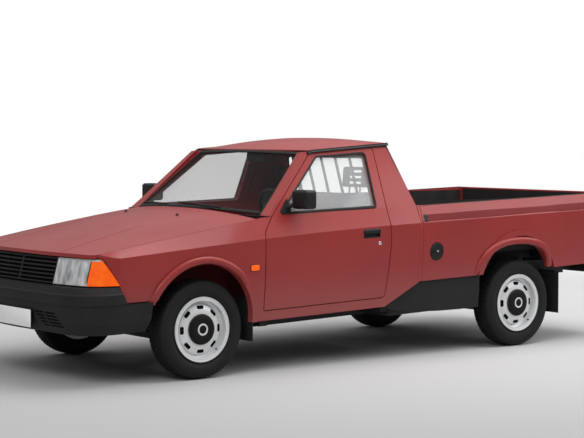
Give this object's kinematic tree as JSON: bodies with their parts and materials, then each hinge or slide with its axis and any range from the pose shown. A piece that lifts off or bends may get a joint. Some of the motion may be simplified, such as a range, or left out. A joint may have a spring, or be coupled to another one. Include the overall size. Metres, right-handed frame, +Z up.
{
  "type": "pickup truck",
  "caption": "Single-cab pickup truck with opening hood, doors and tailgate, steering front wheels and an open load bed.",
  "frame": {"origin": "on the ground under the middle of the truck's overall box", "axes": "+Z up, the truck's front faces -Y, its left side is +X"},
  "size_m": [1.871, 4.506, 1.4516],
  "materials": {
    "paint": "gloss red coat",
    "paint_dark": "dull red coat",
    "glass": "clear glass",
    "black_metal": "satin black coat",
    "black_plastic": "grained black plastic",
    "trim_plastic": "grained dark plastic",
    "lamp_glass": "ribbed lamp glass",
    "amber": "clear amber lens",
    "red_lens": "red lens",
    "cast_metal": "bare casting",
    "exhaust_metal": "dull steel",
    "seat_fabric": "woven cloth",
    "rubber": "flexible flap",
    "tyre": "tread rubber",
    "wheel_silver": "silver coat"
  },
  "bodies": {
    "root": {"floor_pan": "paint_dark", "cab_side_left": "paint", "cab_side_right": "paint", "roof_panel": "paint", "cab_rear_wall": "paint", "windscreen": "glass", "rear_window": "glass", "window_guard": "black_metal", "fender_left": "paint", "fender_right": "paint", "engine_bay": "paint_dark", "cowl": "black_plastic", "grille": "black_plastic", "headlamps": "lamp_glass", "turn_signals": "amber", "front_bumper": "black_plastic", "bed_side_left": "paint", "bed_side_right": "paint", "bed_tub": "paint", "tail_lamps": "red_lens", "rear_bumper": "black_metal", "chassis_frame": "black_metal", "front_suspension": "black_metal", "rear_axle": "cast_metal", "leaf_springs": "black_metal", "engine_block": "cast_metal", "exhaust": "exhaust_metal", "fuel_tank": "black_plastic", "dashboard": "trim_plastic", "seats": "seat_fabric", "mudflaps": "rubber", "wipers": "trim_plastic", "fuel_cap": "trim_plastic"},
    "hood": {"hood": "paint"},
    "door_left": {"door_left": "paint", "door_glass_left": "glass", "mirror_left": "black_plastic"},
    "door_right": {"door_right": "paint", "door_glass_right": "glass", "mirror_right": "black_plastic"},
    "tailgate": {"tailgate": "paint"},
    "knuckle_left": {"knuckle_left": "cast_metal"},
    "knuckle_right": {"knuckle_right": "cast_metal"},
    "steering": {"steering_wheel": "trim_plastic"},
    "wheel_front_left": {"tyre_front_left": "tyre", "wheel_front_left": "wheel_silver"},
    "wheel_front_right": {"tyre_front_right": "tyre", "wheel_front_right": "wheel_silver"},
    "wheel_rear_left": {"tyre_rear_left": "tyre", "wheel_rear_left": "wheel_silver"},
    "wheel_rear_right": {"tyre_rear_right": "tyre", "wheel_rear_right": "wheel_silver"}
  },
  "joints": [
    {"name": "hood_hinge", "type": "hinge", "parent": "root", "child": "hood", "pos_m": [0, -0.947, 0.9484], "axis": [-1, 0, 0], "range_deg": [0, 55]},
    {"name": "door_left_hinge", "type": "hinge", "parent": "root", "child": "door_left", "pos_m": [0.84, -0.954, 0.6237], "axis": [0, 0, -1], "range_deg": [0, 65]},
    {"name": "door_right_hinge", "type": "hinge", "parent": "root", "child": "door_right", "pos_m": [-0.84, -0.954, 0.6237], "axis": [0, 0, 1], "range_deg": [0, 65]},
    {"name": "tailgate_hinge", "type": "hinge", "parent": "root", "child": "tailgate", "pos_m": [0, 2.181, 0.6443], "axis": [-1, 0, 0], "range_deg": [0, 90]},
    {"name": "steer_left", "type": "hinge", "parent": "root", "child": "knuckle_left", "pos_m": [0.678, -1.387, 0.3], "axis": [0, 0, 1], "range_deg": [-35, 35]},
    {"name": "steer_right", "type": "hinge", "parent": "root", "child": "knuckle_right", "pos_m": [-0.678, -1.387, 0.3], "axis": [0, 0, 1], "range_deg": [-35, 35]},
    {"name": "steering_wheel_turn", "type": "hinge", "parent": "root", "child": "steering", "pos_m": [0.365, -0.482, 0.9364], "axis": [0, 0.8988, 0.4384], "range_deg": [-600, 600]},
    {"name": "spin_front_left", "type": "hinge", "parent": "knuckle_left", "child": "wheel_front_left", "pos_m": [0.718, -1.387, 0.3], "axis": [1, 0, 0], "continuous": true},
    {"name": "spin_front_right", "type": "hinge", "parent": "knuckle_right", "child": "wheel_front_right", "pos_m": [-0.718, -1.387, 0.3], "axis": [1, 0, 0], "continuous": true},
    {"name": "spin_rear_left", "type": "hinge", "parent": "root", "child": "wheel_rear_left", "pos_m": [0.714, 1.261, 0.3], "axis": [1, 0, 0], "continuous": true},
    {"name": "spin_rear_right", "type": "hinge", "parent": "root", "child": "wheel_rear_right", "pos_m": [-0.714, 1.261, 0.3], "axis": [1, 0, 0], "continuous": true}
  ],
  "couplings": [
    {"joint": "steer_right", "follows": "steer_left", "ratio": 1},
    {"joint": "steering_wheel_turn", "follows": "steer_left", "ratio": 16}
  ]
}
